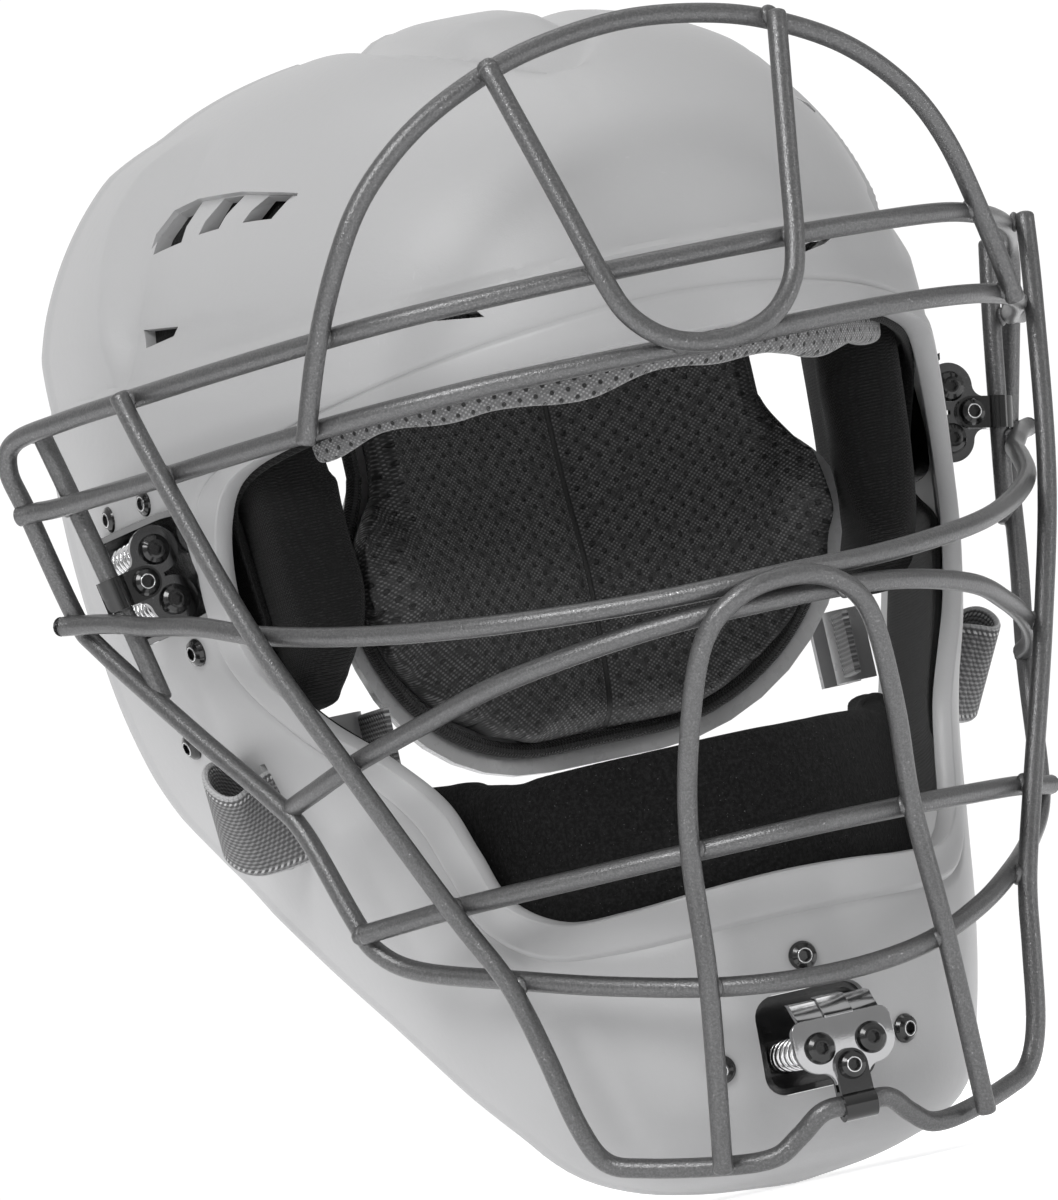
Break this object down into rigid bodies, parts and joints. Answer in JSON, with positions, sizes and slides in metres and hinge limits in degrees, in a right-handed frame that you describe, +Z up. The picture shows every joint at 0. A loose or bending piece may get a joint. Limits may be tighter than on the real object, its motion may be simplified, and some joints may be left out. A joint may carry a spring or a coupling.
{
  "type": "catcher's mask",
  "caption": "Hockey-style catcher's helmet mask: moulded front shell, welded wire cage on sprung mounts, padded liner and a sliding back plate on elastic straps.",
  "frame": {"origin": "centre of the wearer's head, on the middle plane, level with the eyes and in front of the collapsed back plate", "axes": "+Z up as worn, -Y the way the wearer faces, +X the wearer's left"},
  "size_m": [0.2698, 0.2089, 0.2979],
  "materials": {
    "cage_wire": "powder coat, satin",
    "shell_plastic": "satin moulded",
    "grey_mesh": "perforated spacer mesh",
    "black_mesh": "perforated spacer mesh",
    "black_knit": "brushed knit over foam",
    "base_plastic": "gloss",
    "spring_steel": "polished",
    "yoke_chrome": "black chrome",
    "clamp_steel": "gloss black",
    "black_fastener": "gloss black",
    "bright_fastener": "zinc plated",
    "back_plastic": "satin moulded",
    "hook_plastic": "satin moulded",
    "webbing": "woven webbing",
    "elastic_webbing": "woven elastic"
  },
  "bodies": {
    "helmet": {"front_shell": "shell_plastic", "forehead_pad": "grey_mesh", "crown_pad": "black_knit", "side_pad_left": "black_knit", "side_pad_right": "black_knit", "chin_pad": "black_knit", "mount_base_left": "base_plastic", "mount_base_right": "base_plastic", "mount_base_chin": "base_plastic", "guide_bolts_left": "black_fastener", "guide_bolts_right": "black_fastener", "guide_bolts_chin": "black_fastener", "springs_left": "spring_steel", "springs_right": "spring_steel", "springs_chin": "spring_steel", "shell_screws": "black_fastener", "strap_loop_left": "webbing", "strap_loop_right": "webbing", "strap_hook_left": "hook_plastic", "strap_hook_right": "hook_plastic"},
    "cage": {"perimeter_wire": "cage_wire", "lower_brow_wire": "cage_wire", "upper_eye_wire": "cage_wire", "lower_eye_wire": "cage_wire", "chin_wire": "cage_wire", "front_loop_wire": "cage_wire", "halo_wire": "cage_wire", "forehead_wire": "cage_wire", "chin_arch_wire": "cage_wire", "mount_rod_left": "cage_wire", "mount_rod_right": "cage_wire", "yoke_left": "yoke_chrome", "yoke_right": "yoke_chrome", "yoke_chin": "yoke_chrome", "wire_clamp_left": "clamp_steel", "wire_clamp_right": "clamp_steel", "wire_clamp_chin": "clamp_steel", "clamp_bolts": "black_fastener", "clamp_nuts": "bright_fastener"},
    "back_plate": {"back_shell": "back_plastic", "back_pad": "black_mesh", "back_rivets": "bright_fastener", "inner_strap_left": "elastic_webbing", "inner_strap_right": "elastic_webbing"}
  },
  "joints": [
    {"name": "cage_slide", "type": "slide", "parent": "helmet", "child": "cage", "axis": [0, 1, 0], "range_m": [0, 0.007], "stiffness_N_per_m": 9000, "springref_m": -0.003, "deforming": ["springs_left", "springs_right", "springs_chin"]},
    {"name": "back_plate_slide", "type": "slide", "parent": "helmet", "child": "back_plate", "axis": [0, 1, 0], "range_m": [0, 0.06], "stiffness_N_per_m": 120, "springref_m": -0.01, "deforming": ["inner_strap_left", "inner_strap_right"]}
  ]
}
